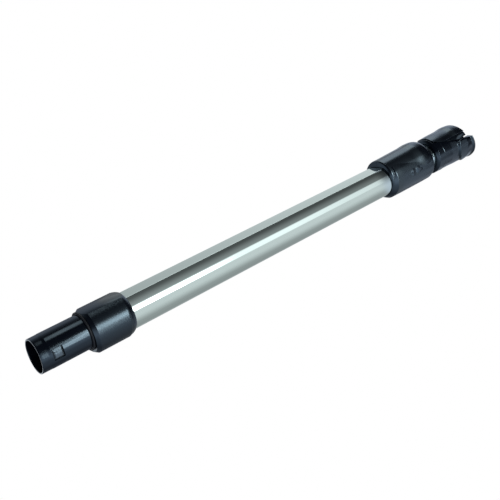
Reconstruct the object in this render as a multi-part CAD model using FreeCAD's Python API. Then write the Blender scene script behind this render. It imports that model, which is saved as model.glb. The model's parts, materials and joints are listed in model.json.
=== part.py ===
# Telescopic vacuum wand, pushed together as photographed.
# X runs along the wand from the floor tool's end to the handle's end, Z points to the roof of the tube.
# Sizes are in millimetres. The tube's axis is the line y = 0, z = 0 until the whole part is set on the floor.

import math
import os
import FreeCAD
import Part

V = FreeCAD.Vector

# Lengths that set where everything stands along the wand.
SPIGOT_LENGTH = 46.7
COLLAR_LENGTH = 40.7
TUBE_LENGTH = 412.0
SLEEVE_LENGTH = 68.8
CONNECTOR_LENGTH = 64.0

# Outer tube: the 35 mm size sets the scale of everything else.
TUBE_RADIUS = 17.5
TUBE_WALL = 0.8
ROOF_HALF_ANGLE = 29.5
ROOF_CROWN = 0.35
EDGE_ROUND = 0.9
TUBE_START = SPIGOT_LENGTH + 11.3
TUBE_END = TUBE_START + TUBE_LENGTH

# Spigot for the floor tool, standing a little above the tube's axis. Its end face leans slightly.
SPIGOT_RADIUS = 16.0
SPIGOT_ROOT_RADIUS = 15.7
SPIGOT_BORE = 14.2
SPIGOT_RISE = 1.4
SPIGOT_START = -0.9
SPIGOT_END = TUBE_START
TIP_RADIUS = 15.7
TIP_BORE = 14.7
TIP_LEAN = 0.05
TIP_ROUND = 0.35
LEAD_IN_LENGTH = 8.8
LEAD_IN_RADIUS = 15.85
SEAL_LENGTH = 1.7
SEAL_START = SPIGOT_LENGTH - 2.1
SEAL_RADIUS = 18.0

# Collar over the lower end of the tube.
COLLAR_RADIUS = 21.1
COLLAR_START = SPIGOT_LENGTH
COLLAR_END = COLLAR_START + COLLAR_LENGTH
COLLAR_NOSE_RADIUS = 18.7
COLLAR_SHOULDER = COLLAR_START + 3.5
COLLAR_ROUND_START = COLLAR_END - 6.4
COLLAR_ROUND_AXIS = 0.5
RIDGE_CHAMFER_START = COLLAR_START + 3.2
COLLAR_SOLE = -20.6
COLLAR_SCREW_X = COLLAR_END - 16.0

# Catch window and button, on the side that faces the viewer (minus Y).
WINDOW_START = LEAD_IN_LENGTH + 0.9
WINDOW_END = WINDOW_START + 9.9
WINDOW_HALF = 5.1
BUTTON_GAP = 0.65
BUTTON_FACE = 15.65
BUTTON_BEVEL = 1.3
BUTTON_FLANGE_FACE = 12.8
BUTTON_FLANGE = 1.0
LEAF_THICKNESS = 0.5
LEAF_HALF_WIDTH = 3.4
LEAF_SEAT = 13.3
CATCH_RIVET_X = COLLAR_START + 2.8
LEAF_BEND = CATCH_RIVET_X - 11.0
LEAF_END = CATCH_RIVET_X + 5.5

# Sliding sleeve. The rise for the thumb is round about an axis of its own; its stations are shares of the length.
SLEEVE_START = TUBE_END - 51.8
SLEEVE_END = SLEEVE_START + SLEEVE_LENGTH
SLEEVE_RADIUS = 22.15
SLEEVE_BORE = 20.2
SLEEVE_LIP = 3.0
SLEEVE_REAR_LIP = 3.6
SLEEVE_TUBE_CLEARANCE = 0.45
SLEEVE_REAR_HOLE = 17.0
SLEEVE_TRAVEL = 5.0
RISE_AXIS = 2.55
RISE_PROFILE = ((0.0015, 18.9), (0.018, 19.9), (0.048, 20.2), (0.099, 20.25), (0.2, 20.4), (0.375, 20.75),
                (0.549, 21.1), (0.651, 21.4), (0.709, 21.8), (0.767, 22.05), (0.84, 21.95), (0.898, 21.6),
                (0.949, 20.45), (0.985, 18.4))
SEAM_HALF_WIDTH = 0.22
SEAM_DEPTH = 0.5
BAND_WIDTH = 3.6
BAND_THICKNESS = 0.45
ARROW_CENTRE = SLEEVE_START + 35.4
ARROW_HEIGHT = 0.35
SOLE = -21.5

# Inner tube, with a liner and a bush in the gap between the tubes. The travel is a whole number of notches.
TUBE_GAP = 0.8
INNER_RADIUS = TUBE_RADIUS - TUBE_WALL - TUBE_GAP
INNER_WALL = 0.8
INNER_START = TUBE_START + 3.0
LINER_START = TUBE_END - 27.0
SLIDE_CLEARANCE = 0.15
BUSH_LENGTH = 21.0
BUSH_LIP = 1.2
NOTCH_PITCH = 15.0
NOTCH_STEPS = int((LINER_START - INNER_START - BUSH_LENGTH) / NOTCH_PITCH)
TRAVEL = NOTCH_STEPS * NOTCH_PITCH

# Lock under the sleeve: a cross pin in one of the notches pressed into the inner tube's roof.
HOUSING_START = SLEEVE_START + 8.8
HOUSING_RADIUS = SLEEVE_BORE - 0.3
HOUSING_NECK_RADIUS = 19.2
HOUSING_NECK_CLEARANCE = 0.2
HOUSING_END = TUBE_END + 6.0
HOUSING_SCREW_X = HOUSING_START + 5.0
PIN_X = TUBE_END - 18.0
PIN_Z = 14.5
PIN_RADIUS = 2.5
PIN_HALF = 5.5
PIN_LIFT = 2.2
PIN_CLEARANCE = 0.15
CHANNEL_START = PIN_X - 13.0
CHANNEL_END = PIN_X + 12.5
CHANNEL_FLOOR = 16.4
CHANNEL_HALF = PIN_HALF + 0.4
RIB_INNER = 1.0
RIB_OUTER = 4.8
RIB_START = PIN_X - 7.0
RIB_END = PIN_X + 11.0
CAM_SLOPE = PIN_LIFT / SLEEVE_TRAVEL
CAM_CLEARANCE = 0.08
WIPER_START = TUBE_END + 1.4
WIPER_LENGTH = 2.6
WIPER_DEPTH = 1.6
WIPER_CLEARANCE = 0.08

# Return spring of the sleeve, around the inner tube, and the coils' fineness.
SPRING_RADIUS = 18.4
SPRING_WIRE = 0.45
SPRING_TURNS = 3.0
COIL_STEPS = 16
COIL_SIDES = 8

# Handle connector.
CONNECTOR_START = SLEEVE_END + 8.0
CONNECTOR_END = CONNECTOR_START + CONNECTOR_LENGTH
CONNECTOR_FRONT = CONNECTOR_START + 3.4
CONNECTOR_RADIUS = 20.35
BODY_RADIUS = 20.7
FLANGE_END = CONNECTOR_START + 12.2
END_TILT = 11.4
RING_RADIUS = 22.0
GROOVE_RADIUS = 21.05
BEAD_RADIUS = 22.5
BEAD_LENGTH = 2.2
EAR_X = CONNECTOR_END - 7.0
EAR_Z = -1.5
EAR_RADIUS = 19.4
RING_TOP = 7.2
WAIST_SHIFT = 1.25
INNER_END = CONNECTOR_START + 22.0
SOCKET_START = INNER_END + 2.0
SOCKET_SEAL = 2.0
SOCKET_SEAL_RADIUS = 15.5
SOCKET_RADIUS = 16.05
SOCKET_WALL = 17.2
SOCKET_WALL_END = CONNECTOR_END - 10.0
PASSAGE_RADIUS = 14.2
NOSE_SLOT_START = CONNECTOR_END - 25.0
NOSE_SLOT_HALF = 4.8
CORE_INNER = 17.9
CORE_OUTER = 20.2
CORE_START = CONNECTOR_END - 13.0

# Ledge that the release lever stands over. It falls towards the handle's end.
LEDGE_START = CONNECTOR_START + 4.0
LEDGE_START_Z = 17.2
LEDGE_END = CONNECTOR_END - 22.0
LEDGE_END_Z = 7.9
LEVER_POCKET_FLOOR = 16.1
LEVER_POCKET_END = CONNECTOR_START + 21.0
LEVER_POCKET_HALF = 9.0

# Release lever. The stations of its spine are shares of its length.
LEVER_START = CONNECTOR_START + 5.2
LEVER_END = CONNECTOR_END - 12.0
LEVER_LENGTH = LEVER_END - LEVER_START
LEVER_END_SLOPE = 0.35
LEVER_PROFILE = ((-0.047, 21.2), (0.103, 21.5), (0.231, 21.8), (0.402, 21.95), (0.551, 22.1), (0.658, 22.4),
                 (0.754, 22.9), (0.872, 22.95), (1.0, 22.45), (1.128, 21.6))
LEVER_HALF_ANGLE = 46.0
LEVER_INNER = 19.6
LEVER_GAP = 0.35
SKIRT_START = LEVER_START + 5.8
SKIRT_TOP = 15.6
SKIRT_TOP_Y = 15.3
SKIRT_FOOT_Y = 17.1
SKIRT_THICKNESS = 1.35
SKIRT_RADIUS = 20.45
PIVOT_X = LEVER_START + 2.8
PIVOT_Z = 18.0
PIVOT_RADIUS = 0.8
PIVOT_CLEARANCE = 0.05
HUB_RADIUS = 1.6
LUG_INNER = 3.1
LUG_THICKNESS = 1.6
CLAW_START = LEVER_END - 10.8
CLAW_LENGTH = 4.0
CLAW_HALF = 4.0
CLAW_TIP = 16.65
LEVER_WIRE = 0.25
LEVER_TURNS = 3.0

# Small hardware.
SCREW_RADIUS = 1.1
SCREW_HEAD_RADIUS = 2.0
SCREW_HEAD_HEIGHT = 1.0
RIVET_RADIUS = 1.2
RIVET_HEAD_RADIUS = 1.9
RIVET_HEAD_HEIGHT = 0.9


def roof_height(radius):
    """Height of the roof's two edges over the axis, for a section of the given radius."""
    return radius * math.cos(math.radians(ROOF_HALF_ANGLE))


def section(radius, roof, x):
    """Round section with a slightly crowned flat roof, as a face square to X."""
    half = math.sqrt(radius ** 2 - roof ** 2)
    right = V(x, half, roof)
    left = V(x, -half, roof)
    bowl = Part.Arc(right, V(x, 0, -radius), left).toShape()
    crown = Part.Arc(left, V(x, 0, roof + ROOF_CROWN), right).toShape()
    return Part.Face(Part.Wire([bowl, crown]))


def bar(radius, start, end, rounding=0.0, offset=0.0):
    """Solid bar with the roofed section. The offset grows the section all round."""
    grown = radius + offset
    roof = roof_height(radius) + offset
    solid = section(grown, roof, start).extrude(V(end - start, 0, 0))
    if rounding > 0:
        edges = [e for e in solid.Edges if is_ridge(e, grown, roof)]
        solid = solid.makeFillet(rounding, edges)
    return solid


def inner_bar(start, end, rounding=0.0, offset=0.0):
    """Bar with the inner tube's section, which runs parallel inside the outer tube's."""
    return bar(TUBE_RADIUS, start, end, rounding, offset - TUBE_WALL - TUBE_GAP)


def is_ridge(edge, radius, roof):
    """True for the two long edges beside the roof."""
    half = math.sqrt(radius ** 2 - roof ** 2)
    along = all(abs(abs(v.Y) - half) < 0.01 and abs(v.Z - roof) < 0.01 for v in edge.Vertexes)
    return along and edge.Length > 1.0 and abs(edge.Vertexes[0].X - edge.Vertexes[-1].X) > 0.5


def rod(radius, start, end, y=0.0, z=0.0):
    """Round bar along X."""
    return Part.makeCylinder(radius, end - start, V(start, y, z), V(1, 0, 0))


def block(x0, x1, y0, y1, z0, z1):
    """Box between two corners."""
    return Part.makeBox(x1 - x0, y1 - y0, z1 - z0, V(x0, y0, z0))


def turned(points, z=0.0, y=0.0):
    """Solid of revolution around a line along X. Each point is x and radius; a third item makes it an arc's middle."""
    edges = []
    last = V(points[0][0], 0, points[0][1])
    middle = None
    for item in points[1:]:
        here = V(item[0], 0, item[1])
        if len(item) == 3:
            middle = here
            continue
        if middle is not None:
            edges.append(Part.Arc(last, middle, here).toShape())
            middle = None
        else:
            edges.append(Part.makeLine(last, here))
        last = here
    first = V(points[0][0], 0, points[0][1])
    low_last = V(last.x, 0, 0)
    low_first = V(first.x, 0, 0)
    edges.append(Part.makeLine(last, low_last))
    edges.append(Part.makeLine(low_last, low_first))
    edges.append(Part.makeLine(low_first, first))
    face = Part.Face(Part.Wire(edges))
    solid = face.revolve(V(0, 0, 0), V(1, 0, 0), 360)
    solid.translate(V(0, y, z))
    return solid


def turned_smooth(points, z=0.0):
    """Solid of revolution under a smooth curve through the given x and radius pairs."""
    curve = Part.BSplineCurve()
    curve.interpolate([V(x, 0, r) for x, r in points])
    first = V(points[0][0], 0, points[0][1])
    last = V(points[-1][0], 0, points[-1][1])
    low_first = V(first.x, 0, 0)
    low_last = V(last.x, 0, 0)
    lines = [Part.makeLine(last, low_last), Part.makeLine(low_last, low_first), Part.makeLine(low_first, first)]
    solid = Part.Face(Part.Wire([curve.toShape()] + lines)).revolve(V(0, 0, 0), V(1, 0, 0), 360)
    solid.translate(V(0, 0, z))
    return solid


def prism_y(points, y0, y1):
    """Prism along Y from a closed list of x and z."""
    wire = Part.makePolygon([V(x, y0, z) for x, z in points] + [V(points[0][0], y0, points[0][1])])
    return Part.Face(wire).extrude(V(0, y1 - y0, 0))


def prism_x(points, x0, x1):
    """Prism along X from a closed list of y and z."""
    wire = Part.makePolygon([V(x0, y, z) for y, z in points] + [V(x0, points[0][0], points[0][1])])
    return Part.Face(wire).extrude(V(x1 - x0, 0, 0))


def make_spigot():
    """Push-in end with lead-in, catch window, root under the collar and a seat for the leaf spring."""
    far = SPIGOT_START - 3
    outer = turned([(far, TIP_RADIUS), (LEAD_IN_LENGTH, LEAD_IN_RADIUS),
                    (LEAD_IN_LENGTH + 0.4, SPIGOT_RADIUS), (SEAL_START, SPIGOT_RADIUS),
                    (SEAL_START, SPIGOT_ROOT_RADIUS), (SPIGOT_END, SPIGOT_ROOT_RADIUS)], z=SPIGOT_RISE)
    bore = turned([(far - 1, TIP_BORE), (SPIGOT_START + 3, SPIGOT_BORE), (SPIGOT_END + 1, SPIGOT_BORE)],
                  z=SPIGOT_RISE)
    reach = 30.0
    beyond = [(SPIGOT_START - TIP_LEAN * reach, -reach), (SPIGOT_START + TIP_LEAN * reach, reach), (far - 9, reach),
              (far - 9, -reach)]
    spigot = outer.cut(bore).cut(prism_y([(x, z + SPIGOT_RISE) for x, z in beyond], -reach, reach))
    rim = [e for e in spigot.Edges if abs(e.CenterOfMass.x - SPIGOT_START) < 0.5 and e.Length > SPIGOT_RADIUS]
    spigot = spigot.makeFillet(TIP_ROUND, rim)
    window = block(WINDOW_START, WINDOW_END, -SPIGOT_RADIUS - 2, -SPIGOT_BORE + 4,
                   SPIGOT_RISE - WINDOW_HALF, SPIGOT_RISE + WINDOW_HALF)
    seat = block(CATCH_RIVET_X - 5, SPIGOT_END, -SPIGOT_RADIUS, -LEAF_SEAT,
                 SPIGOT_RISE - LEAF_HALF_WIDTH, SPIGOT_RISE + LEAF_HALF_WIDTH)
    seat = seat.common(rod(SPIGOT_ROOT_RADIUS - 0.2, 0, SPIGOT_END, z=SPIGOT_RISE))
    spigot = spigot.cut(window).fuse(seat)
    return spigot.cut(make_catch_rivet()).removeSplitter()


def make_catch_rivet():
    """Blind rivet that holds the leaf spring inside the spigot."""
    foot = -SPIGOT_ROOT_RADIUS + 0.3
    inner = -LEAF_SEAT + LEAF_THICKNESS
    shank = Part.makeCylinder(RIVET_RADIUS, inner - foot, V(CATCH_RIVET_X, foot, SPIGOT_RISE), V(0, 1, 0))
    head = Part.makeCone(RIVET_HEAD_RADIUS, RIVET_RADIUS, RIVET_HEAD_HEIGHT,
                         V(CATCH_RIVET_X, inner, SPIGOT_RISE), V(0, 1, 0))
    return shank.fuse(head).removeSplitter()


def make_catch_spring():
    """Leaf spring from the rivet to the back of the button."""
    rest = -BUTTON_FLANGE_FACE + BUTTON_FLANGE
    seat = -LEAF_SEAT
    button_end = WINDOW_END + 1.4
    outline = [(WINDOW_START + 1, rest), (button_end, rest), (LEAF_BEND, seat), (LEAF_END, seat),
               (LEAF_END, seat + LEAF_THICKNESS), (LEAF_BEND, seat + LEAF_THICKNESS),
               (button_end, rest + LEAF_THICKNESS), (WINDOW_START + 1, rest + LEAF_THICKNESS)]
    z0 = SPIGOT_RISE - LEAF_HALF_WIDTH
    wire = Part.makePolygon([V(x, y, z0) for x, y in outline] + [V(outline[0][0], outline[0][1], z0)])
    leaf = Part.Face(wire).extrude(V(0, 0, 2 * LEAF_HALF_WIDTH))
    return leaf.cut(make_catch_rivet())


def make_catch_button():
    """Bevelled button in the window, with a flange behind the wall that keeps it in."""
    x0 = WINDOW_START + BUTTON_GAP
    x1 = WINDOW_END - BUTTON_GAP
    z0 = SPIGOT_RISE - WINDOW_HALF + BUTTON_GAP
    z1 = SPIGOT_RISE + WINDOW_HALF - BUTTON_GAP
    bevel_foot = -BUTTON_FACE + BUTTON_BEVEL
    low = [V(x0, bevel_foot, z0), V(x1, bevel_foot, z0), V(x1, bevel_foot, z1), V(x0, bevel_foot, z1)]
    top = [V(x0 + 1.2, -BUTTON_FACE, z0 + 1.3), V(x1 - 1.5, -BUTTON_FACE, z0 + 1.3),
           V(x1 - 1.5, -BUTTON_FACE, z1 - 3.0), V(x0 + 1.2, -BUTTON_FACE, z1 - 3.0)]
    crown = Part.makeLoft([Part.makePolygon(low + low[:1]), Part.makePolygon(top + top[:1])], True, True)
    stem = block(x0, x1, bevel_foot, -BUTTON_FLANGE_FACE, z0, z1)
    flange = block(x0 - 1.6, x1 + 1.6, -BUTTON_FLANGE_FACE, -BUTTON_FLANGE_FACE + BUTTON_FLANGE,
                   SPIGOT_RISE - WINDOW_HALF - 0.5, SPIGOT_RISE + WINDOW_HALF + 0.5)
    return crown.fuse(stem).fuse(flange).removeSplitter()


def make_spigot_seal():
    """Ring on the spigot in front of the collar."""
    end = SEAL_START + SEAL_LENGTH
    ring = turned([(SEAL_START, SEAL_RADIUS - 0.6), (SEAL_START + 0.15, SEAL_RADIUS - 0.15, "arc"),
                   (SEAL_START + 0.6, SEAL_RADIUS), (end - 0.4, SEAL_RADIUS), (end, SEAL_RADIUS - 0.4)], z=SPIGOT_RISE)
    return ring.cut(rod(SPIGOT_ROOT_RADIUS, SEAL_START - 1, end + 1, z=SPIGOT_RISE))


def make_collar():
    """Collar with flat roof, cone front, rounded rear and a flat sole."""
    shape = turned([(COLLAR_START, COLLAR_NOSE_RADIUS), (COLLAR_SHOULDER, COLLAR_RADIUS), (COLLAR_END, COLLAR_RADIUS)])
    rear = turned([(COLLAR_START - 1, COLLAR_RADIUS + 1), (COLLAR_ROUND_START - 2, COLLAR_RADIUS + 1),
                   (COLLAR_ROUND_START, COLLAR_RADIUS - 0.15),
                   (COLLAR_ROUND_START + 4.0, COLLAR_RADIUS - 1.35, "arc"), (COLLAR_END, TUBE_RADIUS + 0.5)],
                  z=COLLAR_ROUND_AXIS)
    shape = shape.common(rear)
    shape = shape.common(bar(COLLAR_RADIUS, COLLAR_START - 1, COLLAR_END + 1))
    angle = math.radians(ROOF_HALF_ANGLE)
    for side in (-1, 1):
        out = V(0, side * math.sin(angle), math.cos(angle))
        normal = V(-0.62, 0, 0) + out * 0.78
        foot = out * COLLAR_RADIUS + V(RIDGE_CHAMFER_START, 0, 0)
        cutter = Part.makeBox(30, 30, 10, V(-15, -15, 0))
        cutter.Placement = FreeCAD.Placement(foot, FreeCAD.Rotation(V(0, 0, 1), normal))
        shape = shape.cut(cutter)
    shape = shape.cut(rod(SPIGOT_ROOT_RADIUS, COLLAR_START - 1, SPIGOT_END, z=SPIGOT_RISE))
    shape = shape.cut(bar(TUBE_RADIUS, SPIGOT_END, COLLAR_END + 1, EDGE_ROUND))
    shape = shape.cut(block(COLLAR_START - 1, COLLAR_END + 1, -30, 30, COLLAR_SOLE - 9, COLLAR_SOLE))
    return shape.cut(make_collar_screw()).removeSplitter()


def make_collar_screw():
    """Short screw through the collar's sole into the tube's wall."""
    tip = -TUBE_RADIUS + 0.6
    head_foot = COLLAR_SOLE + 0.5
    head = Part.makeCylinder(SCREW_HEAD_RADIUS, SCREW_HEAD_HEIGHT, V(COLLAR_SCREW_X, 0, head_foot), V(0, 0, 1))
    shank = Part.makeCylinder(SCREW_RADIUS, tip - head_foot, V(COLLAR_SCREW_X, 0, head_foot), V(0, 0, 1))
    return head.fuse(shank).removeSplitter()


def collar_screw_hole():
    """Room for the screw's head below the sole."""
    return Part.makeCylinder(SCREW_HEAD_RADIUS, 0.6, V(COLLAR_SCREW_X, 0, COLLAR_SOLE - 0.05), V(0, 0, 1))


def pin_slot():
    """Opening for the lock pin, through everything above the inner tube's roof."""
    half = PIN_RADIUS + PIN_CLEARANCE
    wide = PIN_HALF + PIN_CLEARANCE
    return block(PIN_X - half, PIN_X + half, -wide, wide, PIN_Z - PIN_RADIUS - 2, 30.0)


def notch_rods(radius):
    """Cross rods at every notch, with the given radius."""
    rods = []
    for i in range(NOTCH_STEPS + 1):
        x = PIN_X - i * NOTCH_PITCH
        rods.append(Part.makeCylinder(radius, 60, V(x, -30, PIN_Z), V(0, 1, 0)))
    return rods


def make_outer_tube():
    """Steel tube with flat roof. The roof is cut for the lock pin."""
    tube = bar(TUBE_RADIUS, TUBE_START, TUBE_END, EDGE_ROUND)
    tube = tube.cut(bar(TUBE_RADIUS, TUBE_START - 1, TUBE_END + 1, 0.0, -TUBE_WALL))
    tube = tube.cut(pin_slot())
    for screw in (make_collar_screw(), make_housing_screw(-1), make_housing_screw(1)):
        tube = tube.cut(screw)
    return tube


def make_inner_tube():
    """Steel tube that slides in the outer one and carries the connector. Its roof has pressed notches."""
    skin = inner_bar(INNER_START, INNER_END, EDGE_ROUND)
    skin = skin.cut(notch_rods(PIN_RADIUS + PIN_CLEARANCE))
    core = inner_bar(INNER_START - 1, INNER_END + 1, 0.0, -INNER_WALL)
    core = core.cut(notch_rods(PIN_RADIUS + PIN_CLEARANCE + INNER_WALL))
    tube = skin.cut(core)
    for place in (0, 1):
        tube = tube.cut(make_connector_rivet(place))
    return tube


def make_slide_bush():
    """Bush on the lower end of the inner tube, with a lip under the tube's end."""
    end = LINER_START - TRAVEL - 0.5
    clear = TUBE_GAP - SLIDE_CLEARANCE
    bush = inner_bar(INNER_START - BUSH_LIP, end, EDGE_ROUND + clear, clear)
    bush = bush.cut(inner_bar(INNER_START, end + 1, EDGE_ROUND))
    return bush.cut(inner_bar(INNER_START - 2, INNER_START + 1, 0.0, -INNER_WALL))


def make_guide_liner():
    """Liner that guides the inner tube in the outer one and stops the bush."""
    liner = inner_bar(LINER_START, TUBE_END, 0.0, TUBE_GAP)
    liner = liner.cut(inner_bar(LINER_START - 1, TUBE_END + 1, 0.0, SLIDE_CLEARANCE))
    return liner.cut(pin_slot())


def make_lock_housing():
    """Housing fixed over the outer tube's upper end, with the pin's slot and the wiper's groove."""
    housing = turned([(HOUSING_START, HOUSING_RADIUS - 0.8), (HOUSING_START + 0.8, HOUSING_RADIUS),
                      (TUBE_END - 1, HOUSING_RADIUS), (TUBE_END, HOUSING_NECK_RADIUS),
                      (HOUSING_END - 0.4, HOUSING_NECK_RADIUS), (HOUSING_END, HOUSING_NECK_RADIUS - 0.4)])
    housing = housing.cut(bar(TUBE_RADIUS, HOUSING_START - 1, TUBE_END, EDGE_ROUND))
    housing = housing.cut(inner_bar(TUBE_END - 1, HOUSING_END + 1, 0.0, HOUSING_NECK_CLEARANCE))
    housing = housing.cut(inner_bar(WIPER_START, WIPER_START + WIPER_LENGTH, 0.0, WIPER_DEPTH))
    housing = housing.cut(block(CHANNEL_START, CHANNEL_END, -CHANNEL_HALF, CHANNEL_HALF, CHANNEL_FLOOR, 30))
    housing = housing.cut(pin_slot())
    for side in (-1, 1):
        housing = housing.cut(make_housing_screw(side))
        mouth = Part.makeCylinder(SCREW_HEAD_RADIUS, 4, V(HOUSING_SCREW_X, side * (HOUSING_RADIUS - 0.6), 0),
                                  V(0, side, 0))
        housing = housing.cut(mouth)
    return housing.removeSplitter()


def make_housing_screw(side):
    """Screw through the side of the housing into the outer tube's wall."""
    tip = TUBE_RADIUS - TUBE_WALL + 0.1
    head_foot = HOUSING_RADIUS - 0.6
    head = Part.makeCylinder(SCREW_HEAD_RADIUS, SCREW_HEAD_HEIGHT,
                             V(HOUSING_SCREW_X, side * head_foot, 0), V(0, -side, 0))
    shank = Part.makeCylinder(SCREW_RADIUS, head_foot - tip, V(HOUSING_SCREW_X, side * head_foot, 0), V(0, -side, 0))
    return head.fuse(shank).removeSplitter()


def make_wiper_ring():
    """Felt ring in the housing's groove, just clear of the inner tube."""
    end = WIPER_START + WIPER_LENGTH
    ring = inner_bar(WIPER_START, end, 0.0, WIPER_DEPTH)
    return ring.cut(inner_bar(WIPER_START - 1, end + 1, 0.0, WIPER_CLEARANCE))


def make_lock_pin():
    """Cross pin that drops into a notch. The sleeve's ribs hold it down until the sleeve is drawn back."""
    pin = Part.makeCylinder(PIN_RADIUS, 2 * PIN_HALF, V(PIN_X, -PIN_HALF, PIN_Z), V(0, 1, 0))
    return pin.makeChamfer(0.4, [e for e in pin.Edges if len(e.Vertexes) == 1])


def sleeve_outside():
    """Outer form of the sleeve: round, with a lip at the mouth and a rise for the thumb on top."""
    lip_end = SLEEVE_START + 5.0
    body = turned([(SLEEVE_START, TUBE_RADIUS + SLEEVE_TUBE_CLEARANCE),
                   (SLEEVE_START + 2.0, SLEEVE_RADIUS - 2.4, "arc"), (lip_end, SLEEVE_RADIUS - 0.65),
                   (lip_end + 0.3, SLEEVE_RADIUS - 0.15), (lip_end + 10, SLEEVE_RADIUS),
                   (SLEEVE_END - 18, SLEEVE_RADIUS - 0.05), (SLEEVE_END - 3.6, SLEEVE_RADIUS - 0.25),
                   (SLEEVE_END - 1.1, SLEEVE_RADIUS - 1.25, "arc"), (SLEEVE_END, SLEEVE_RADIUS - 3.0)])
    stations = [(SLEEVE_START + share * SLEEVE_LENGTH, r) for share, r in RISE_PROFILE]
    rise = turned_smooth(stations, RISE_AXIS)
    sole = block(SLEEVE_START - 1, SLEEVE_END + 1, -30, 30, SOLE - 9, SOLE)
    return body.fuse(rise).cut(sole)


def make_sleeve_shell():
    """Whole sleeve before it is parted: hollow, with cam ribs, bands' grooves, seam and arrow mark."""
    outside = sleeve_outside()
    shell = outside.cut(rod(SLEEVE_BORE, SLEEVE_START + SLEEVE_LIP, SLEEVE_END - SLEEVE_REAR_LIP))
    shell = shell.cut(bar(TUBE_RADIUS, SLEEVE_START - 1, SLEEVE_START + SLEEVE_LIP + 1, EDGE_ROUND,
                          SLEEVE_TUBE_CLEARANCE))
    shell = shell.cut(rod(SLEEVE_REAR_HOLE, SLEEVE_END - SLEEVE_REAR_LIP - 1, SLEEVE_END + 1))
    # The ribs' undersides are level over the pin and then rise, to leave it room to lift.
    low = PIN_Z + PIN_RADIUS + CAM_CLEARANCE
    slant = math.hypot(1.0, CAM_SLOPE)
    ramp = PIN_Z + (PIN_RADIUS + CAM_CLEARANCE) * slant
    knee = PIN_X + (low - ramp) / CAM_SLOPE
    rib_top = SLEEVE_BORE + 0.6
    rib_end_z = min(ramp + CAM_SLOPE * (RIB_END - PIN_X), rib_top - 0.8)
    over = PIN_X + (rib_end_z - ramp) / CAM_SLOPE
    outline = [(RIB_START, low), (knee, low), (over, rib_end_z), (RIB_END, rib_end_z),
               (RIB_END, rib_top), (RIB_START, rib_top)]
    for side in (-1, 1):
        y0, y1 = sorted((side * RIB_INNER, side * RIB_OUTER))
        shell = shell.fuse(prism_y(outline, y0, y1))
    layer = outside.copy()
    layer.translate(V(0, 0, -SEAM_DEPTH))
    seam = outside.cut(layer).common(block(SLEEVE_START - 1, SLEEVE_END + 1, -SEAM_HALF_WIDTH, SEAM_HALF_WIDTH, 0, 40))
    return shell.cut(seam)


def make_arrow(side):
    """Embossed double arrow: two triangles that point both ways along the sleeve."""
    skin = rod(SLEEVE_RADIUS + ARROW_HEIGHT, ARROW_CENTRE - 12, ARROW_CENTRE + 12)
    skin = skin.cut(rod(SLEEVE_RADIUS - 0.3, ARROW_CENTRE - 13, ARROW_CENTRE + 13))
    mark = None
    for way in (-1, 1):
        base = ARROW_CENTRE + way * 3.0
        tip = ARROW_CENTRE + way * 8.2
        y0, y1 = sorted((side * 15.0, side * 30.0))
        piece = prism_y([(base, -2.9), (tip, 0.3), (base, 3.5)], y0, y1).common(skin)
        mark = piece if mark is None else mark.fuse(piece)
    return mark


def make_sleeve_half(side):
    """One half shell of the sleeve."""
    y0, y1 = sorted((0.0, side * 40.0))
    half = make_sleeve_shell().common(block(SLEEVE_START - 1, SLEEVE_END + 1, y0, y1, -40, 40))
    return half.fuse(make_arrow(side)).removeSplitter()


def make_sleeve_band(start):
    """Thin steel band inside the sleeve that holds the two halves on one circle."""
    end = start + BAND_WIDTH
    return rod(SLEEVE_BORE, start, end).cut(rod(SLEEVE_BORE - BAND_THICKNESS, start - 1, end + 1))


def make_return_spring():
    """Coil spring between the housing and the sleeve's rear wall."""
    length = SLEEVE_END - SLEEVE_REAR_LIP - HOUSING_END
    spring = coil(SPRING_RADIUS, SPRING_WIRE, length - 2 * SPRING_WIRE, SPRING_TURNS)
    spring.translate(V(HOUSING_END + SPRING_WIRE, 0, 0))
    return spring


def coil(radius, wire, length, turns):
    """Coil of round wire along X, from x = 0, lofted through many-sided sections."""
    steps = int(turns * COIL_STEPS)
    rings = []
    for i in range(steps + 1):
        turn = 2 * math.pi * turns * i / steps
        out = V(0, math.cos(turn), math.sin(turn))
        along = V(length / (2 * math.pi * turns), -radius * math.sin(turn), radius * math.cos(turn)).normalize()
        beside = along.cross(out)
        centre = V(length * i / steps, 0, 0) + out * radius
        ring = []
        for k in range(COIL_SIDES):
            angle = 2 * math.pi * k / COIL_SIDES
            ring.append(centre + out * (wire * math.cos(angle)) + beside * (wire * math.sin(angle)))
        rings.append(Part.makePolygon(ring + ring[:1]))
    return Part.makeLoft(rings, True, True)


def ledge(x):
    """Height of the connector's ledge under the lever's skirts."""
    slope = (LEDGE_END_Z - LEDGE_START_Z) / (LEDGE_END - LEDGE_START)
    return LEDGE_START_Z + slope * (x - LEDGE_START)


def end_block(low_z, high_z, shift=0.0):
    """Everything beyond the tilted end face."""
    lean = math.tan(math.radians(END_TILT))
    outline = [(CONNECTOR_END + shift - lean * low_z, low_z), (CONNECTOR_END + shift - lean * high_z, high_z),
               (CONNECTOR_END + 30, high_z), (CONNECTOR_END + 30, low_z)]
    return prism_y(outline, -40, 40)


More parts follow.
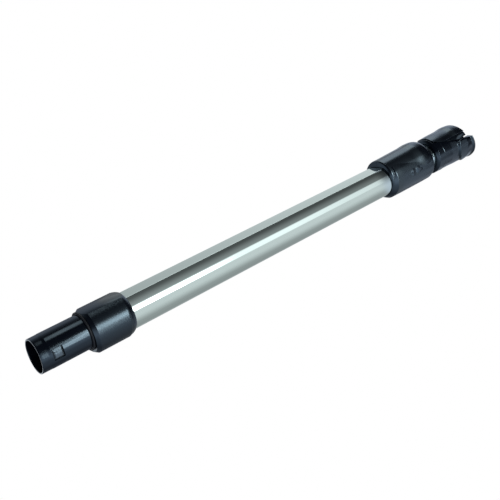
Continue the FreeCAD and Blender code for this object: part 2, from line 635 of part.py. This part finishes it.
def make_connector():
    """Handle connector: front flange, waist, socket, end ring, lever pocket and ears."""
    far = CONNECTOR_END + 10
    body = turned([(CONNECTOR_START, INNER_RADIUS + 0.9), (CONNECTOR_START + 1.1, CONNECTOR_RADIUS - 1.7, "arc"),
                   (CONNECTOR_FRONT, CONNECTOR_RADIUS), (FLANGE_END, CONNECTOR_RADIUS),
                   (FLANGE_END + 0.3, BODY_RADIUS - 0.2), (far, BODY_RADIUS)])
    body = body.cut(waist(-1)).cut(waist(1))
    ear = Part.makeCylinder(EAR_RADIUS, 80, V(EAR_X, -40, EAR_Z), V(0, 1, 0))
    ring = turned([(EAR_X - 26, RING_RADIUS - 0.9), (EAR_X - 9, RING_RADIUS - 0.2), (EAR_X - 4, RING_RADIUS),
                   (EAR_X + 0.5, RING_RADIUS - 0.5), (EAR_X + 4, GROOVE_RADIUS), (far, GROOVE_RADIUS)])
    ring = ring.common(ear.fuse(block(EAR_X, far, -40, 40, -40, 40)))
    body = body.fuse(ring)
    bead = turned([(-2.5, GROOVE_RADIUS - 0.5), (-1.2, GROOVE_RADIUS), (-0.1, BEAD_RADIUS - 0.5), (0.7, BEAD_RADIUS),
                   (9, BEAD_RADIUS)])
    bead.Placement = FreeCAD.Placement(V(CONNECTOR_END - BEAD_LENGTH, 0, 0), FreeCAD.Rotation(V(0, 1, 0), -END_TILT))
    body = body.fuse(bead).cut(end_block(-40, 40))
    # The ledge and the open top are cut first, then the socket's wall is put back under the lever.
    top = [(LEDGE_START, 40), (LEDGE_START, LEDGE_START_Z), (LEDGE_END, LEDGE_END_Z), (LEDGE_END + 0.5, RING_TOP),
           (far, RING_TOP), (far, 40)]
    body = body.cut(prism_y(top, -40, 40))
    body = body.fuse(rod(SOCKET_WALL, LEDGE_START - 1, SOCKET_WALL_END))
    pocket = block(LEDGE_START, LEVER_POCKET_END, -LEVER_POCKET_HALF, LEVER_POCKET_HALF, LEVER_POCKET_FLOOR, 40)
    body = body.cut(pocket)
    for side in (-1, 1):
        y0, y1 = sorted((side * LUG_INNER, side * (LUG_INNER + LUG_THICKNESS)))
        lug = block(PIVOT_X - 1.6, PIVOT_X + 1.6, y0, y1, LEVER_POCKET_FLOOR - 0.5, PIVOT_Z)
        head = Part.makeCylinder(1.6, y1 - y0, V(PIVOT_X, y0, PIVOT_Z), V(0, 1, 0))
        body = body.fuse(lug).fuse(head)
    body = body.cut(inner_bar(CONNECTOR_START - 1, INNER_END, EDGE_ROUND))
    body = body.cut(rod(PASSAGE_RADIUS, INNER_END - 1, SOCKET_START + 1))
    body = body.cut(rod(SOCKET_SEAL_RADIUS, SOCKET_START, SOCKET_START + SOCKET_SEAL))
    body = body.cut(rod(SOCKET_RADIUS, SOCKET_START + SOCKET_SEAL, far + 1))
    body = body.cut(block(NOSE_SLOT_START, far, -NOSE_SLOT_HALF, NOSE_SLOT_HALF, 8, 40))
    core = rod(CORE_OUTER, CORE_START, far + 1).cut(rod(CORE_INNER, CORE_START - 1, far + 2))
    body = body.cut(core.common(block(CORE_START - 1, far + 1, -40, 40, -40, RING_TOP - 1.6)))
    body = body.cut(block(CONNECTOR_START - 1, far + 1, -40, 40, SOLE - 20, SOLE))
    seam = block(CONNECTOR_START - 1, LEDGE_START + 1, -SEAM_HALF_WIDTH, SEAM_HALF_WIDTH, CONNECTOR_RADIUS - 0.6, 40)
    body = body.cut(seam).cut(make_lever_pin())
    for place in (0, 1):
        body = body.cut(make_connector_rivet(place))
        mouth = Part.makeCylinder(RIVET_HEAD_RADIUS, 3, V(rivet_x(place), 0, -CONNECTOR_RADIUS + 0.6), V(0, 0, -1))
        body = body.cut(mouth)
    return body.removeSplitter()


def waist(side):
    """Cutter for the finger scoop on one side. It fades out towards the sole."""
    end = EAR_X - 4
    barrel = turned([(FLANGE_END + 0.1, BODY_RADIUS + 1.6), (FLANGE_END + 1.4, BODY_RADIUS + 0.05),
                     (FLANGE_END + 14, BODY_RADIUS + 0.05), (end, BODY_RADIUS + 0.9)], y=-side * WAIST_SHIFT)
    ring = rod(30, FLANGE_END + 0.1, end).cut(barrel)
    y0, y1 = sorted((0.0, side * 40.0))
    return ring.common(block(FLANGE_END - 1, end + 1, y0, y1, -40, 40))


def rivet_x(place):
    """Position of a connector rivet along the wand."""
    return CONNECTOR_FRONT + 4 + 9 * place


def make_connector_rivet(place):
    """Rivet through the connector's underside into the inner tube."""
    head_foot = -CONNECTOR_RADIUS + 0.6
    tip = -INNER_RADIUS + INNER_WALL - 0.05
    head = Part.makeCylinder(RIVET_HEAD_RADIUS, RIVET_HEAD_HEIGHT, V(rivet_x(place), 0, head_foot), V(0, 0, 1))
    shank = Part.makeCylinder(RIVET_RADIUS, tip - head_foot, V(rivet_x(place), 0, head_foot), V(0, 0, 1))
    return head.fuse(shank).removeSplitter()


def make_socket_seal():
    """Flat rubber ring at the bottom of the handle socket."""
    end = SOCKET_START + SOCKET_SEAL
    return rod(SOCKET_SEAL_RADIUS, SOCKET_START, end).cut(rod(PASSAGE_RADIUS, SOCKET_START - 1, end + 1))


def make_lever_pin():
    """Pivot pin of the release lever, held in the connector's ears."""
    half = LUG_INNER + LUG_THICKNESS
    return Part.makeCylinder(PIVOT_RADIUS, 2 * half, V(PIVOT_X, -half, PIVOT_Z), V(0, 1, 0))


def lever_wedge(angle):
    """Everything within the given angle of the top, as seen along the wand."""
    reach = 60.0
    side = reach * math.sin(math.radians(angle))
    height = reach * math.cos(math.radians(angle))
    return prism_x([(0, 0), (side, height), (0, reach * 1.5), (-side, height)], LEVER_START - 5, LEVER_END + 15)


def make_release_lever():
    """Hooded lever: arched spine, undercut skirts, hub and claw."""
    profile = [(LEVER_START + share * LEVER_LENGTH, r) for share, r in LEVER_PROFILE]
    spine = turned_smooth(profile).common(lever_wedge(LEVER_HALF_ANGLE))
    spine = spine.cut(rod(LEVER_INNER, LEVER_START - 5, LEVER_END - 3))
    spine = spine.cut(rod(SOCKET_WALL + LEVER_GAP, LEVER_START - 5, LEVER_END + 20))
    skirts = None
    foot_z = LEDGE_END_Z
    lean = (SKIRT_FOOT_Y - SKIRT_TOP_Y) / (SKIRT_TOP - foot_z)
    for side in (-1, 1):
        low = foot_z - 1.0
        foot = SKIRT_FOOT_Y + lean * 1.0
        outline = [(side * foot, low), (side * SKIRT_TOP_Y, SKIRT_TOP),
                   (side * (SKIRT_TOP_Y - SKIRT_THICKNESS), SKIRT_TOP), (side * (foot - SKIRT_THICKNESS), low)]
        skirt = prism_x(outline, SKIRT_START, LEVER_END + 12)
        skirt = skirt.common(rod(SKIRT_RADIUS, SKIRT_START - 1, LEVER_END + 14))
        skirts = skirt if skirts is None else skirts.fuse(skirt)
    skirts = skirts.cut(rod(SOCKET_WALL + LEVER_GAP, LEVER_START - 5, LEVER_END + 20))
    lever = spine.fuse(skirts)
    # The underside follows the ledge, then rises a little over the end ring.
    rise_end = LEVER_END + 14
    under = [(LEVER_START - 6, -10), (LEVER_START - 6, ledge(LEVER_START - 6) + LEVER_GAP),
             (LEDGE_END, LEDGE_END_Z + LEVER_GAP), (LEDGE_END + 4, LEDGE_END_Z + 1.1),
             (rise_end, LEDGE_END_Z + 2.6), (rise_end, -10)]
    lever = lever.cut(prism_y(under, -40, 40))
    heel = [(LEVER_START - 6, -10), (LEVER_START - 6, 18.2), (PIVOT_X + 0.4, ledge(PIVOT_X) + LEVER_GAP + 0.55),
            (PIVOT_X + 0.4, -10)]
    lever = lever.cut(prism_y(heel, -40, 40))
    front = [(LEVER_START - 6, 0), (LEVER_START, 0), (LEVER_START, 19.6), (LEVER_START + 0.9, 30), (LEVER_START - 6, 30)]
    lever = lever.cut(prism_y(front, -40, 40))
    top = profile[-2][1]
    rear = [(LEVER_END, 40), (LEVER_END, top), (LEVER_END + LEVER_END_SLOPE * (top - 4), 4),
            (LEVER_END + 30, 4), (LEVER_END + 30, 40)]
    lever = lever.cut(prism_y(rear, -40, 40))
    for side in (-1, 1):
        y0, y1 = sorted((side * (LUG_INNER - 0.2), side * (LUG_INNER + LUG_THICKNESS + 0.3)))
        lever = lever.cut(block(PIVOT_X - 2.2, PIVOT_X + 2.4, y0, y1, 10, PIVOT_Z + 2.0))
    hub_low, hub_high = -LUG_INNER + 0.3, 0.5
    hub = Part.makeCylinder(HUB_RADIUS, hub_high - hub_low, V(PIVOT_X, hub_low, PIVOT_Z), V(0, 1, 0))
    web = block(PIVOT_X - 0.4, PIVOT_X + HUB_RADIUS, hub_low, hub_high, PIVOT_Z, LEVER_INNER + 0.8)
    lever = lever.fuse(hub).fuse(web)
    lever = lever.cut(Part.makeCylinder(PIVOT_RADIUS + PIVOT_CLEARANCE, 12, V(PIVOT_X, -6, PIVOT_Z), V(0, 1, 0)))
    claw = block(CLAW_START, CLAW_START + CLAW_LENGTH, -CLAW_HALF, CLAW_HALF, CLAW_TIP, LEVER_INNER + 0.8)
    lever = lever.fuse(claw)
    skin = turned_smooth(profile).cut(turned_smooth([(x, r - 0.3) for x, r in profile]))
    seam = skin.common(block(LEVER_START - 2, LEVER_END + 8, -0.15, 0.15, 15, 40))
    return lever.cut(seam).removeSplitter()


def make_lever_spring():
    """Torsion spring on the lever's pin, with two legs under the lever's front lip."""
    radius = PIVOT_RADIUS + 0.1 + LEVER_WIRE
    start_y = 0.5 + 0.1 + LEVER_WIRE
    length = LUG_INNER - 0.15 - LEVER_WIRE - start_y
    spring = coil(radius, LEVER_WIRE, length, LEVER_TURNS)
    spring.rotate(V(0, 0, 0), V(0, 0, 1), 90)
    spring.rotate(V(0, 0, 0), V(0, 1, 0), 180)
    spring.translate(V(PIVOT_X, start_y, PIVOT_Z))
    for y, side in ((start_y, -1), (start_y + length, 1)):
        foot = V(PIVOT_X + 0.2, y, PIVOT_Z + side * radius)
        spring = spring.fuse(Part.makeCylinder(LEVER_WIRE * 0.98, 2.3, foot, V(-1, 0, 0)))
    return spring.removeSplitter()


def nodes():
    """Every separate piece with its name."""
    return {
        "spigot": make_spigot(),
        "collar": make_collar().cut(collar_screw_hole()),
        "spigot_seal": make_spigot_seal(),
        "collar_screw": make_collar_screw(),
        "catch_button": make_catch_button(),
        "catch_spring": make_catch_spring(),
        "catch_rivet": make_catch_rivet(),
        "outer_tube": make_outer_tube(),
        "inner_tube": make_inner_tube(),
        "slide_bush": make_slide_bush(),
        "guide_liner": make_guide_liner(),
        "lock_housing": make_lock_housing(),
        "housing_screw_near": make_housing_screw(-1),
        "housing_screw_far": make_housing_screw(1),
        "wiper_ring": make_wiper_ring(),
        "lock_pin": make_lock_pin(),
        "sleeve_near": make_sleeve_half(-1),
        "sleeve_far": make_sleeve_half(1),
        "sleeve_band_front": make_sleeve_band(SLEEVE_START + SLEEVE_LIP + 1.0),
        "sleeve_band_rear": make_sleeve_band(SLEEVE_END - SLEEVE_REAR_LIP - BAND_WIDTH),
        "return_spring": make_return_spring(),
        "connector": make_connector(),
        "connector_rivet_front": make_connector_rivet(0),
        "connector_rivet_rear": make_connector_rivet(1),
        "socket_seal": make_socket_seal(),
        "release_lever": make_release_lever(),
        "lever_pin": make_lever_pin(),
        "lever_spring": make_lever_spring(),
    }


def main():
    """Builds the pieces, sets the wand on the floor with its middle over the origin, and writes the files."""
    os.makedirs("parts", exist_ok=True)
    pieces = nodes()
    box = Part.makeCompound(list(pieces.values())).optimalBoundingBox(False, False)
    shift = V(-(box.XMin + box.XMax) / 2, 0, -box.ZMin)
    for name, solid in pieces.items():
        placed = solid.copy()
        placed.translate(shift)
        placed.exportStep("parts/" + name + ".step")
        count = len(placed.Solids)
        print(name, "solids", count, "valid", placed.isValid(), "volume", round(placed.Volume, 1))
    print("shift", shift, "length", box.XLength, "width", box.YLength, "height", box.ZLength)


main()
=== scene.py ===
# Looks of the telescopic wand: finishes, smooth copies of the solids, studio light and camera.
# Lengths are in metres in the part's frame: X along the wand, Z up through the flat roof, -Y the near side.

import json
import math
import bmesh
import bpy
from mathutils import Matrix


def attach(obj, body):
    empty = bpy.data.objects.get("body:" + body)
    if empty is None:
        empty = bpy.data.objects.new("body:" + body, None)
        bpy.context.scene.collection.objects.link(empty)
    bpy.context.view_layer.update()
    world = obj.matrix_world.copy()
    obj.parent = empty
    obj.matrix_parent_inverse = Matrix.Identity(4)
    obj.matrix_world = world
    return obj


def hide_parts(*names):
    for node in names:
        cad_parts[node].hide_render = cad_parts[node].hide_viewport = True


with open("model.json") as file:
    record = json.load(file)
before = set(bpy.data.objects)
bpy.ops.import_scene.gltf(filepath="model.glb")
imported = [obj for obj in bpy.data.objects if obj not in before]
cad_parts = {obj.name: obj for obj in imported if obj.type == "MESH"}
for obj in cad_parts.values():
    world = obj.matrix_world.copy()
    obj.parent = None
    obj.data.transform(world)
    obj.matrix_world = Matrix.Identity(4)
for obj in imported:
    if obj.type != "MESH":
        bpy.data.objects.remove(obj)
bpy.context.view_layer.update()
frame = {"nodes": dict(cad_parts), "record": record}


# Shader arithmetic: values read as formulas, and every other node comes from add_node.

class Val:
    """A value in a node tree: a socket with ordinary operators."""

    def __init__(self, tree, socket):
        self.tree = tree
        self.socket = socket

    def combine(self, operation, first, second):
        """Math node over two values or numbers."""
        return add_node(self.tree, "ShaderNodeMath", {0: first, 1: second}, operation=operation)

    def __add__(self, other):
        return self.combine("ADD", self, other)

    def __sub__(self, other):
        return self.combine("SUBTRACT", self, other)

    def __rsub__(self, other):
        return self.combine("SUBTRACT", other, self)

    def __mul__(self, other):
        return self.combine("MULTIPLY", self, other)

    def __truediv__(self, other):
        return self.combine("DIVIDE", self, other)

    __radd__ = __add__
    __rmul__ = __mul__

    def smooth(self, low, high):
        """0 below low and 1 above high, with a soft step between."""
        sockets = {"Value": self, "From Min": low, "From Max": high}
        return add_node(self.tree, "ShaderNodeMapRange", sockets, interpolation_type="SMOOTHSTEP")


def rgba(colour):
    """Four numbers from the three of a colour."""
    return (*colour, 1.0)


def plug(tree, socket, value):
    """Joins a value to a socket, or sets the socket."""
    if isinstance(value, Val):
        tree.links.new(value.socket, socket)
    else:
        socket.default_value = value


def add_node(tree, kind, sockets, output=0, **settings):
    """Adds a node, with its settings set first, and gives one of its outputs."""
    node = tree.nodes.new(kind)
    for name, setting in settings.items():
        setattr(node, name, setting)
    for name, value in sockets.items():
        plug(tree, node.inputs[name], value)
    return Val(tree, node.outputs[output])


# Finishes. Each has slight clouds in its colour and roughness, and some have a fine grain.

CLOUD_SCALE = 60.0       # cells per metre
CLOUD_DETAIL = 3.0
GRAIN_DETAIL = 2.0
ROUGH_LEAST = 0.94       # share of the stated roughness where a cloud is 0
ROUGH_SPREAD = 0.12


def noise(tree, place, scale, detail):
    """Noise over a place, with scale in cells per metre."""
    sockets = {"Vector": place, "Scale": scale, "Detail": detail}
    return add_node(tree, "ShaderNodeTexNoise", sockets, output="Fac")


def material(name, colour, rough, metal=0.0, specular=0.5, ior=1.5, tint=None, grain=None, worn=0.0):
    """Finish with slight unevenness. Grain is (cells per metre, bump height in metres)."""
    made = bpy.data.materials.new(name)
    made.use_nodes = True
    tree = made.node_tree
    shader = tree.nodes["Principled BSDF"]
    place = add_node(tree, "ShaderNodeTexCoord", {}, output="Object")
    cloud = noise(tree, place, CLOUD_SCALE, CLOUD_DETAIL)
    dark = tuple(channel * (1.0 - worn) for channel in colour)
    light = tuple(min(1.0, channel * (1.0 + worn)) for channel in colour)
    mix = {"Factor": cloud, 6: rgba(dark), 7: rgba(light)}
    plug(tree, shader.inputs["Base Color"], add_node(tree, "ShaderNodeMix", mix, output=2, data_type="RGBA"))
    plug(tree, shader.inputs["Roughness"], cloud * (ROUGH_SPREAD * rough) + ROUGH_LEAST * rough)
    shader.inputs["Metallic"].default_value = metal
    shader.inputs["Specular IOR Level"].default_value = specular
    shader.inputs["IOR"].default_value = ior
    if tint:
        shader.inputs["Specular Tint"].default_value = rgba(tint)
    if grain:
        scale, height = grain
        bump = {"Strength": 1.0, "Distance": height, "Height": noise(tree, place, scale, GRAIN_DETAIL)}
        plug(tree, shader.inputs["Normal"], add_node(tree, "ShaderNodeBump", bump))
    return made


BLACK = (0.0026, 0.0034, 0.0070)
COLD = (0.68, 0.88, 1.0)
CHROME = material("chrome", (0.83, 0.92, 0.88), 0.05, metal=1.0, worn=0.01)
# The inner tube's chrome has a darker colour than the outer tube's: painted shade for where it shows in the
# dark gap between sleeve and connector.
CHROME_PAINTED_SHADE = material("inner_chrome_painted_shade", (0.50, 0.60, 0.60), 0.08, metal=1.0, worn=0.01)
STEEL = material("hardware", (0.6, 0.61, 0.62), 0.28, metal=1.0, worn=0.05)
GLOSS = material("gloss_black", BLACK, 0.14, specular=0.85, tint=COLD, worn=0.1)
TEXTURED = material("textured_black", BLACK, 0.25, specular=0.95, tint=COLD, grain=(2600.0, 1e-5), worn=0.15)
SATIN = material("satin_black", BLACK, 0.2, specular=0.95, ior=1.6, tint=COLD, grain=(1800.0, 4e-6), worn=0.1)
BUTTON = material("button_grey", (0.085, 0.10, 0.11), 0.22, specular=0.9, tint=COLD, worn=0.1)
NATURAL = material("natural_plastic", (0.5, 0.5, 0.48), 0.45, worn=0.05)
RUBBER = material("rubber", (0.008, 0.009, 0.012), 0.6, worn=0.2)
FELT = material("felt", (0.28, 0.28, 0.28), 0.95, grain=(900.0, 0.0002), worn=0.3)
FINISHES = {"spigot_black": GLOSS, "collar_black": TEXTURED, "sleeve_black": SATIN,
            "connector_black": GLOSS, "lever_black": SATIN, "button_grey": BUTTON,
            "tube_steel": CHROME, "inner_tube_steel": CHROME_PAINTED_SHADE, "hidden_plastic": NATURAL,
            "seal_rubber": RUBBER, "wiper_felt": FELT, "hardware_steel": STEEL, "spring_steel": STEEL}


# Axes of the turned surfaces, as y and height. Pieces that this table doesn't name turn about the main axis.

AXIS_Z = 0.0215
MAIN = (0.0, AXIS_Z)
RAISED = (0.0, AXIS_Z + 0.0014)
COLLAR_REAR = (0.0, AXIS_Z + 0.0005)
SLEEVE_ROOF = (0.0, AXIS_Z + 0.00255)
SCOOP_OFFSET = 0.00125
SCOOPS = [(SCOOP_OFFSET, AXIS_Z), (-SCOOP_OFFSET, AXIS_Z)]
AXES = {"spigot": [RAISED], "spigot_seal": [RAISED], "collar": [MAIN, COLLAR_REAR],
        "sleeve_near": [MAIN, SLEEVE_ROOF], "sleeve_far": [MAIN, SLEEVE_ROOF], "connector": [MAIN, *SCOOPS]}
FLAT_TOPPED = ("outer_tube", "inner_tube", "collar")

END_FACE = 0.97          # a face that looks this much along the wand is left alone
ROOF_FACE = 0.9          # and so is one that looks this much up, on a flat-topped piece
LEVEL_GAP = 0.0003       # corners of a turned face lie this close to one cone
MOST_SLIP = 0.2          # and its normal passes the axis by at most this share
LONG_FACE = 0.004        # a face longer than this is straight along the wand
WELD_DISTANCE = 1e-6
SHARP_ANGLE = 28.0
TINY = 1e-9


def misfit(points, normal, axis):
    """How far a face's corners are from one cone about an axis, and how far its normal slips sideways."""
    flat = math.hypot(normal.y, normal.z)
    radii = [math.hypot(point.y - axis[0], point.z - axis[1]) for point in points]
    outward = normal.y * (points[0].y - axis[0]) + normal.z * (points[0].z - axis[1])
    slope = -math.copysign(normal.x / flat, outward * normal.x)
    levels = [radius - slope * point.x for radius, point in zip(radii, points)]
    slips = [abs(normal.y * (point.z - axis[1]) - normal.z * (point.y - axis[0])) / (flat * max(radius, TINY))
             for radius, point in zip(radii, points)]
    return max(levels) - min(levels), max(slips), axis


def round_off(mesh, axes, flat_top):
    """Turns the shading normals of round walls straight away from their axis, so that no facet shows."""
    normals = [corner.vector.copy() for corner in mesh.corner_normals]
    for polygon in mesh.polygons:
        normal = polygon.normal
        if abs(normal.x) > END_FACE or (flat_top and normal.z > ROOF_FACE):
            continue
        points = [mesh.vertices[i].co for i in polygon.vertices]
        gap, slip, axis = min(misfit(points, normal, axis) for axis in axes)
        if gap > LEVEL_GAP or slip > MOST_SLIP:
            continue
        places = [point.x for point in points]
        straight = max(places) - min(places) > LONG_FACE
        for corner in polygon.loop_indices:
            point = mesh.vertices[mesh.loops[corner].vertex_index].co
            y = point.y - axis[0]
            z = point.z - axis[1]
            turned = normals[corner]
            if straight:
                turned.x = normal.x
            share = math.sqrt(1.0 - turned.x ** 2) / math.hypot(y, z)
            if normal.y * y + normal.z * z < 0:
                share = -share
            turned.y = y * share
            turned.z = z * share
    mesh.normals_split_custom_set([tuple(normal) for normal in normals])


def dress(node, body, slot_name):
    """Smooth-shaded copy of a node's mesh, which stands for the node."""
    mesh = frame["nodes"][node].data.copy()
    mesh.name = node + "_look"
    work = bmesh.new()
    work.from_mesh(mesh)
    bmesh.ops.remove_doubles(work, verts=work.verts, dist=WELD_DISTANCE)
    work.to_mesh(mesh)
    work.free()
    for polygon in mesh.polygons:
        polygon.use_smooth = True
    mesh.set_sharp_from_angle(angle=math.radians(SHARP_ANGLE))
    mesh.materials.clear()
    mesh.materials.append(FINISHES[slot_name])
    round_off(mesh, AXES.get(node, [MAIN]), node in FLAT_TOPPED)
    piece = bpy.data.objects.new(node + "_look", mesh)
    bpy.context.scene.collection.objects.link(piece)
    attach(piece, body)
    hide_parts(node)


slots = {entry["node"]: entry["material_slot"] for entry in frame["record"]["subparts"]}
for body, members in frame["record"]["behaviour"]["bodies"].items():
    for member in members:
        dress(member, body, slots[member])


# Studio: soft cards stand around the wand's long axis. A card gives the angles over which it rises and falls,
# and its strength. Angles are degrees around the axis, from the zenith towards the near side.
# Cards that run under the wand end past half a turn.

UNDER = (190, 200)
UNDER_FAR = (-200, -190)
MIDDLE_ROOM = 0.08
MIDDLE_CARDS = {
    "far ground": (UNDER_FAR, (-56, -47), 0.23),
    "far wall": ((-162, -112), (-56, -47), 0.20),
    "foot of the far wall": ((-150, -112), (-104, -62), 0.08),
    "roof box": ((-56, -46), (-14, -8), 0.92),
    "roof box near its edge": ((-46, -14), (-14, -8), 0.50),
    "ceiling": ((4, 58), (58, 62), 0.20),
    "near box": ((54, 63), (86, 92), 1.02),
    "near ground": ((86, 92), UNDER, 0.25),
    "ground by the wand": ((86, 92), (112, 170), 0.32)}
SPIGOT_ROOM = 0.03
SPIGOT_CARDS = {
    "far ground": (UNDER_FAR, (-50, -12), 0.12),
    "far wall": ((-150, -100), (-50, -12), 0.17),
    "edge of the far wall": ((-84, -58), (-54, -34), 0.17),
    "near box": ((70, 106), (106, 136), 0.65),
    "near ground": ((62, 80), (130, 200), 0.50)}
HANDLE_ROOM = 0.02
HANDLE_CARDS = {
    "ground under the wand": (UNDER_FAR, (-184, -146), 0.36),
    "far ground": (UNDER_FAR, (-26, 6), 0.24),
    "far wall": ((-140, -104), (-26, 6), 0.44),
    "roof box": ((-66, -38), (-26, 6), 0.40),
    "near ground": ((40, 124), UNDER, 0.62)}
END_CARDS = {
    "ground under the wand": (UNDER_FAR, (-50, -14), 0.11),
    "far ground": ((-190, -154), (-50, -14), 0.45),
    "far wall": ((-130, -70), (-50, -14), 0.28),
    "near box": ((88, 104), (102, 130), 1.30),
    "near ground": ((86, 104), (116, 210), 0.80)}

# Directions along the wand, as the X share of a ray, over which one group of cards gives way to the next.

SPIGOT_FACE = (0.305, 0.316)
SPIGOT_END = (0.350, 0.361)
HANDLE_START = (0.667, 0.674)
END_START = (0.716, 0.722)
RING_START = (0.726, 0.734)
RING_SHADE = ((33, 57), (128, 152), 0.9)

# The upper far cards brighten towards the handle's end, and the ceiling dims, from the level at GAIN_START.

FAR_GAIN = ((-135, -125), (-15, -5), 1.3)
CEILING_LOSS = ((-5, 5), (55, 65), 1.2)
GAIN_START = 0.5
BOX_DIMMING = ((57, 63), (86, 92), 0.25)
DIM_STRETCH = (0.55, 0.67)

# A strong box by spigot and collar, a strip above the spigot, and a card that only the spigot's tip mirrors.

STRONG_BOX = ((61.5, 67.5), (83, 89), 1.0)
STRONG_STRETCH = ((0.235, 0.275), (0.40, 0.50), 11.0)
STRONG_TURN = 18.0       # degrees that the box stands further round for the spigot
STRONG_LOSS = 4.0 / 11.0
STRIP = ((-13, -3), (9, 19), 2.2)
STRIP_START = (0.248, 0.262)
TIP_CARD = ((-131, -119), (-109, -97), 1.2)
TIP_STRETCH = ((-0.35, -0.29), (-0.20, -0.14), 1.0)

# Tints of the light. The plastics stand in a slightly colder light.

NEUTRAL = (0.93, 1.0, 1.03)
BLUISH = (0.78, 0.88, 1.05)
WHITE = (1.0, 1.0, 1.0)


def card(place, rise, fall, strength):
    """Light of one soft card over an angle, or over the stretch along the wand."""
    return place.smooth(*rise) * (1.0 - place.smooth(*fall)) * strength


def lit(turn, room, cards):
    """Light of a group of cards at an angle, over the room's own level."""
    light = room
    for shape in cards.values():
        light = card(turn, *shape) + light
    return light


def middle_light(turn, along):
    """Cards over the tube and the sleeve."""
    gain = card(turn, *FAR_GAIN) - card(turn, *CEILING_LOSS)
    light = lit(turn, MIDDLE_ROOM, MIDDLE_CARDS) * (gain * (along - GAIN_START) + 1.0)
    return light * (1.0 - card(turn, *BOX_DIMMING) * along.smooth(*DIM_STRETCH))


def accents(turn, along, spigot):
    """The strong box, the strip and the tip's card."""
    box = card(turn - STRONG_TURN * spigot, *STRONG_BOX) * card(along, *STRONG_STRETCH)
    strip = card(turn, *STRIP) * along.smooth(*STRIP_START) * spigot
    tip = card(turn, *TIP_CARD) * card(along, *TIP_STRETCH)
    return box * (1.0 - spigot * STRONG_LOSS) + strip + tip


def glow(tree, colour, strength):
    """Light of one colour from all around."""
    return add_node(tree, "ShaderNodeBackground", {"Color": rgba(colour), "Strength": strength})


def build_world():
    """The cards light the wand, and the camera sees plain white behind it."""
    world = bpy.data.worlds.new("studio")
    bpy.context.scene.world = world
    world.use_nodes = True
    tree = world.node_tree
    tree.nodes.clear()
    direction = add_node(tree, "ShaderNodeTexCoord", {}, output="Generated")
    along = add_node(tree, "ShaderNodeSeparateXYZ", {0: direction}, output="X")
    near_side = add_node(tree, "ShaderNodeSeparateXYZ", {0: direction}, output="Y") * -1.0
    up = add_node(tree, "ShaderNodeSeparateXYZ", {0: direction}, output="Z")
    turn = near_side.combine("ARCTAN2", near_side, up) / math.pi * 180.0

    spigot = 1.0 - along.smooth(*SPIGOT_FACE)
    front = 1.0 - along.smooth(*SPIGOT_END)
    handle = along.smooth(*HANDLE_START)
    end = along.smooth(*END_START)
    ring = along.smooth(*RING_START) * card(turn, *RING_SHADE)
    middle = middle_light(turn, along) * (1.0 - front - handle) + accents(turn, along, spigot)
    plastics = lit(turn, SPIGOT_ROOM, SPIGOT_CARDS) * front
    plastics = plastics + lit(turn, HANDLE_ROOM, HANDLE_CARDS) * (handle - end)
    plastics = plastics + lit(turn, HANDLE_ROOM, END_CARDS) * (1.0 - ring) * end

    studio = {0: glow(tree, NEUTRAL, middle), 1: glow(tree, BLUISH, plastics)}
    seen = add_node(tree, "ShaderNodeLightPath", {}, output="Is Camera Ray")
    both = {0: seen, 1: add_node(tree, "ShaderNodeAddShader", studio), 2: glow(tree, WHITE, 1.0)}
    out = tree.nodes.new("ShaderNodeOutputWorld")
    plug(tree, out.inputs["Surface"], add_node(tree, "ShaderNodeMixShader", both))


# Camera: the photograph's viewing angle and its focal length, worked out for a picture of 500 pixels.

CAMERA_PLACE = (-0.43866, -0.58542, 0.28215)
CAMERA_TURN = (68.887, 13.292, -38.604)
FOCAL_PIXELS = 770.0
PICTURE_PIXELS = 500.0
SENSOR_WIDTH = 36.0
NEAREST = 0.01


def build_camera():
    camera = bpy.data.cameras.new("camera")
    camera.sensor_width = SENSOR_WIDTH
    camera.lens = SENSOR_WIDTH * FOCAL_PIXELS / PICTURE_PIXELS
    camera.clip_start = NEAREST
    holder = bpy.data.objects.new("camera", camera)
    holder.location = CAMERA_PLACE
    holder.rotation_euler = [math.radians(angle) for angle in CAMERA_TURN]
    bpy.context.scene.collection.objects.link(holder)
    bpy.context.scene.camera = holder


build_world()
build_camera()
bpy.context.scene.view_settings.view_transform = "Standard"
